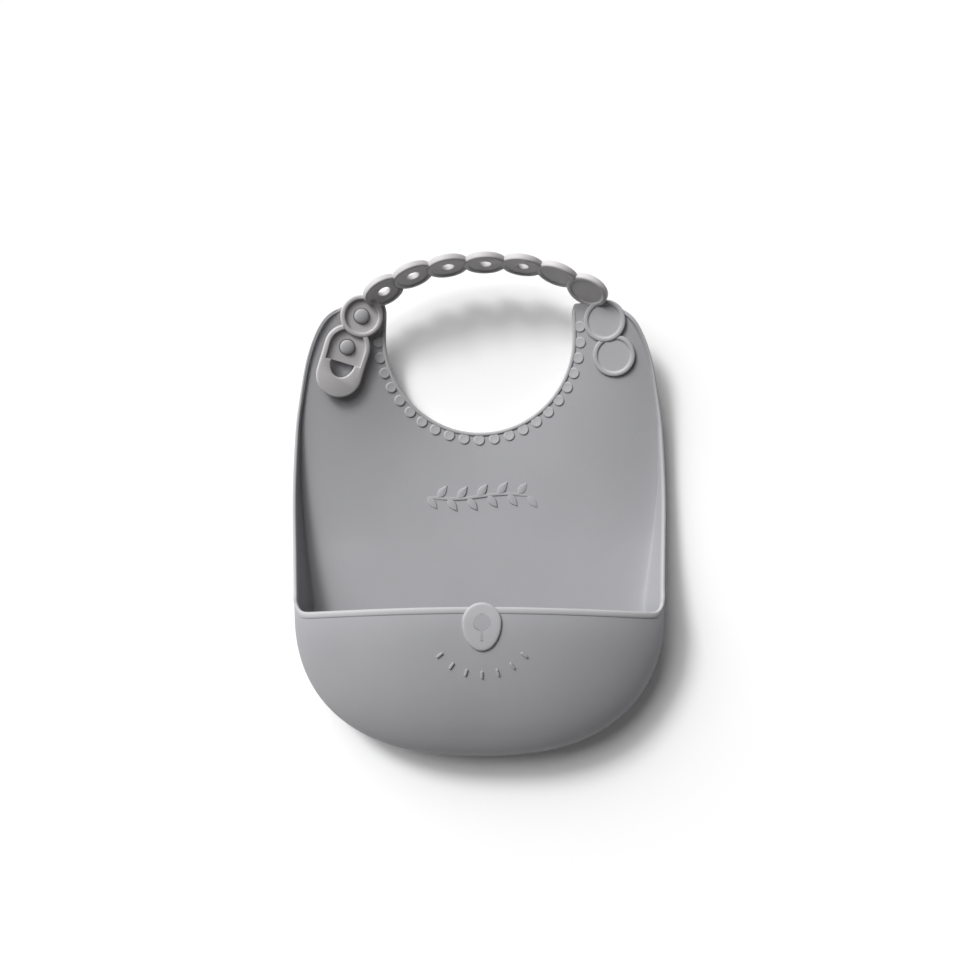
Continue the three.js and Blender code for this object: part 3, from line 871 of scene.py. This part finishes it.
def tab_frame():
    return closure_frame(TAB_STUD.x, TAB_STUD.y, TAB_DIRECTION)


def seated(bm, depth=0.9):
    """The tagged lowest ring of a turned piece, moved just into the sheet under it."""
    for vert in bm.verts:
        if vert.tag:
            vert.co.z = sheet_height(vert.co.x, vert.co.y) + SHEET - depth
    return bm


def tag_bottom(bm):
    low = min(vert.co.z for vert in bm.verts)
    for vert in bm.verts:
        vert.tag = vert.co.z < low + 0.01
    return bm


def shoulder_discs():
    """The two discs in DISCS' order. The upper one is whole and the lower one is bitten by it."""
    discs, bite = [], None
    for disc in reversed(DISCS):
        height = sheet_height(disc.x, disc.y) + SHEET + DISC_THICK / 2 - DISC_SINK
        turn = Matrix.Translation((disc.x, disc.y, height)) @ sloped(sheet_height, disc.x, disc.y, 1.5)
        body = seated(moved(tag_bottom(coin(DISC_THICK, DISC_RECESS)), turn))
        if bite:
            body = carved(body, bite)
        bite = bite_of(turn, 8)
        discs.insert(0, body)
    return discs


class BIB_OT_shoulder_discs(bpy.types.Operator):
    """Builds the two discs that lie on the right shoulder"""
    bl_idname = "bib.shoulder_discs"
    bl_label = "Shoulder discs"

    def execute(self, context):
        for i, disc in enumerate(shoulder_discs()):
            piece(f"strap_root_{i + 1}", disc, material_for("silicone_raised"),
                  (f"shoulder_disc_{i + 1}",), "bib")
        return {"FINISHED"}


class BIB_OT_strap_links(bpy.types.Operator):
    """Builds the seven links of the neck strap"""
    bl_idname = "bib.strap_links"
    bl_label = "Strap links"

    def execute(self, context):
        frames = strap_frames()
        hole = context.scene.bib_sizes.strap_hole * 1000
        for i, turn in enumerate(frames):
            body = coin(LINK_THICK)
            if i >= FIRST_HOLE:
                tool = rounded_tool(ring_points(hole, 40), -6, LINK_THICK / 2 - RECESS, 0.35)
                body = carved(body, tool)
            body = moved(body, turn)
            if i > 0:
                body = carved(body, bite_of(frames[i - 1]))
            name, node = f"link_{i + 1}", (f"strap_link_{i + 1}",)
            if i == 0:
                piece(name, body, material_for("silicone_strap"), node,
                      blend=("bib", "strap", (75.5, 102.2, 24), (67.5, 115, 30)))
            else:
                piece(name, body, material_for("silicone_strap"), node, "strap")
        return {"FINISHED"}


# ---- Closure ----
def end_link():
    plate_top = -COIN_THICK / 2 + PLATE
    recess = rounded_tool(ring_points(COIN_RADIUS - RING), plate_top, COIN_THICK / 2, 0.5)
    hole = plate(ring_points(STUD_HOLE, 48), [(0, -6), (0, 6)])
    body = carved(coin(), recess, hole)
    return moved(body, end_frame())


def finger_points():
    """Outline of the finger hole: straight towards the stud and round towards the pad."""
    points = []
    for i in range(25):
        angle = -math.pi / 2 + math.pi * i / 24
        points.append(Vector((TAB_STEP + FINGER_DEPTH * math.cos(angle), FINGER_WIDTH / 2 * math.sin(angle))))
    return points


def pull_tab():
    top = TAB_THICK / 2
    body = plate(stadium_points(TAB_RADIUS, TAB_SPACING), [
        (-1.1, -top), (-0.4, -top + 0.25), (0, -top + 1.0), (0, top - 1.1), (-0.12, top - 0.6),
        (-0.5, top - 0.18), (-1.1, top)])
    inner = TAB_RADIUS - TAB_RIM
    recess = [p for p in stadium_points(inner, TAB_SPACING) if p.x < TAB_STEP]
    recess += [Vector((TAB_STEP, inner)), Vector((TAB_STEP, -inner))]
    recess.sort(key=lambda p: math.atan2(p.y, p.x - 2))
    tools = [rounded_tool(recess, -top + PLATE, top, 0.5),
             plate(ring_points(STUD_HOLE, 48), [(0, -8), (0, 8)]),
             rounded_tool(finger_points(), -9, top, 0.6)]
    body = moved(carved(body, *tools), tab_frame())
    return carved(body, bite_of(end_frame()))


def stud(turn, thick):
    """A mushroom stud: a broad foot on the sheet, a neck and a domed head."""
    plate_top = -thick / 2 + PLATE
    top, edge = plate_top + 2.1, plate_top + 0.6
    foot = -thick / 2
    levels = [
        (6, foot - 6), (6, foot - 2.2), (5.6, foot - 1.6), (3.4, foot - 0.9), (3.2, foot),
        (3.2, plate_top - 0.4), (3.6, plate_top + 0.05), (4.4, plate_top + 0.25), (STUD_HEAD, edge)]
    for i in range(1, 7):
        angle = math.pi / 2 * i / 6
        levels.append((STUD_HEAD * math.cos(angle) + 0.02, edge + (top - edge) * math.sin(angle)))
    body = plate(ring_points(1, 48), [(r - 1, z) for r, z in levels])
    return seated(moved(tag_bottom(body), turn), 0.9)


class BIB_OT_studs(bpy.types.Operator):
    """Builds the two studs that hold the closure"""
    bl_idname = "bib.studs"
    bl_label = "Studs"

    def execute(self, context):
        for name, turn, thick in (("a", end_frame(), COIN_THICK), ("b", tab_frame(), TAB_THICK)):
            piece(f"stud_{name}", stud(turn, thick), material_for("silicone_raised"),
                  (f"closure_stud_{name}",), "bib")
        return {"FINISHED"}


class BIB_OT_closure(bpy.types.Operator):
    """Builds the end link and the pull tab that button over the studs"""
    bl_idname = "bib.closure"
    bl_label = "Closure"

    def execute(self, context):
        strap = material_for("silicone_strap")
        piece("closing_link", end_link(), strap, ("end_link",),
              blend=("strap", "end_link", (-64.0, 111.1, 27.5), (-67.6, 107.1, 25)))
        piece("pull_tab", pull_tab(), strap, ("closure_tab",),
              blend=("end_link", "closure_tab", (-76.7, 93.2, 24.5), (-78.2, 90.1, 24.5)))
        return {"FINISHED"}


# ---- Stage ----
class BIB_OT_stage(bpy.types.Operator):
    """Sets the pale floor, the soft light and the camera"""
    bl_idname = "bib.stage"
    bl_label = "Stage"

    def execute(self, context):
        colours = context.scene.bib_colours
        bm = bmesh.new()
        bmesh.ops.create_grid(bm, x_segments=4, y_segments=4, size=3)
        bmesh.ops.translate(bm, verts=bm.verts, vec=(0, 0, -0.0002))
        floor = as_object("floor", bm)
        finish = Finish("white floor")
        place = finish.node("ShaderNodeTexCoord", output=3)
        tone = finish.noise(place, 3.0)
        white = [c for c in colours.floor] + [1]
        dim = [c * 0.985 for c in colours.floor] + [1]
        shade = finish.mixed(tone, dim, white)
        floor.data.materials.append(finish.shown(finish.node("ShaderNodeBsdfPrincipled", None, {
            "Base Color": shade, "Roughness": 0.9, "Specular IOR Level": 0.1})))
        for name, strength, spread in (("key", 1.8, 14), ("soft", 3.05, 54)):
            sun = bpy.data.lights.new(name, "SUN")
            sun.energy = colours.key * strength
            sun.angle = math.radians(spread)
            lamp = bpy.data.objects.new(name, sun)
            lamp.rotation_mode = "QUATERNION"
            lamp.rotation_quaternion = Vector((-38, 46, 47)).to_track_quat("Z", "Y")
            context.scene.collection.objects.link(lamp)
        world = bpy.data.worlds.new("studio")
        world.use_nodes = True
        background = world.node_tree.nodes["Background"]
        background.inputs["Color"].default_value = (1, 1, 1, 1)
        background.inputs["Strength"].default_value = colours.fill
        context.scene.world = world
        camera = bpy.data.objects.new("camera", bpy.data.cameras.new("camera"))
        camera.data.sensor_width = 36
        camera.data.lens = 43.95
        camera.location = in_frame(0.45, 0, 750)
        context.scene.collection.objects.link(camera)
        context.scene.camera = camera
        context.scene.view_settings.view_transform = "Standard"
        return {"FINISHED"}


# ---- What a user would change ----
class BibSizes(bpy.types.PropertyGroup):
    """Sizes that the solid model leaves open"""
    dot_count: bpy.props.IntProperty(
        name="Collar dots", description="Dots around the neckline", default=23, min=3, max=41)
    dot_radius: bpy.props.FloatProperty(
        name="Dot radius", description="Radius of a collar dot", default=0.0035, unit="LENGTH")
    bead_radius: bpy.props.FloatProperty(
        name="Bead radius", description="Radius of the neckline's bead", default=0.0013, unit="LENGTH")
    strap_hole: bpy.props.FloatProperty(
        name="Strap hole", description="Radius of the strap's adjustment holes", default=0.004, unit="LENGTH")
    relief: bpy.props.FloatProperty(
        name="Relief", description="Height of the raised marks", default=0.0008, unit="LENGTH")


class BibColours(bpy.types.PropertyGroup):
    """Colours and light"""
    body: bpy.props.FloatVectorProperty(
        name="Body", description="Colour of the moulded body", default=(0.35, 0.35, 0.365), subtype="COLOR")
    # Painted light: the rims, dots, discs and studs are the body's silicone, painted lighter to stand in for
    # the light their raised edges catch.
    raised: bpy.props.FloatVectorProperty(
        name="Raised parts", description="Colour of rims, dots, discs and studs",
        default=(0.41, 0.41, 0.42), subtype="COLOR")
    # Painted light: the links and the tab are the body's silicone, painted lighter to stand in for the light
    # on their faces.
    strap: bpy.props.FloatVectorProperty(
        name="Strap", description="Colour of the strap's links and the tab",
        default=(0.51, 0.496, 0.498), subtype="COLOR")
    bloom: bpy.props.FloatProperty(
        name="Bloom", description="How much pale dust shows", default=0.15, min=0, max=1, subtype="FACTOR")
    floor: bpy.props.FloatVectorProperty(
        name="Floor", description="Colour of the floor", default=(0.97, 0.97, 0.97), subtype="COLOR")
    key: bpy.props.FloatProperty(name="Key light", description="Strength of the key lights", default=1.0)
    fill: bpy.props.FloatProperty(name="Fill light", description="Strength of the even fill", default=0.1)


class BIB_PT_panel(bpy.types.Panel):
    """The bib's sizes, colours and pieces"""
    bl_label = "Silicone bib"
    bl_idname = "BIB_PT_panel"
    bl_space_type = "VIEW_3D"
    bl_region_type = "UI"
    bl_category = "Bib"

    def draw(self, context):
        layout = self.layout
        for group in (context.scene.bib_sizes, context.scene.bib_colours):
            for name in group.bl_rna.properties.keys():
                if name not in ("rna_type", "name"):
                    layout.prop(group, name)
        for operator in OPERATORS:
            layout.operator(operator.bl_idname)


OPERATORS = (BIB_OT_moulded_shell, BIB_OT_rim_band, BIB_OT_collar, BIB_OT_badge, BIB_OT_reliefs,
             BIB_OT_shoulder_discs, BIB_OT_strap_links, BIB_OT_studs, BIB_OT_closure, BIB_OT_stage)
CLASSES = (BibSizes, BibColours, *OPERATORS, BIB_PT_panel)


def register():
    for item in CLASSES:
        bpy.utils.register_class(item)
    bpy.types.Scene.bib_sizes = bpy.props.PointerProperty(type=BibSizes)
    bpy.types.Scene.bib_colours = bpy.props.PointerProperty(type=BibColours)


def unregister():
    del bpy.types.Scene.bib_colours
    del bpy.types.Scene.bib_sizes
    for item in reversed(CLASSES):
        bpy.utils.unregister_class(item)


def main():
    register()
    for operator in OPERATORS:
        group, name = operator.bl_idname.split(".")
        getattr(getattr(bpy.ops, group), name)()


if __name__ == "__main__":
    main()
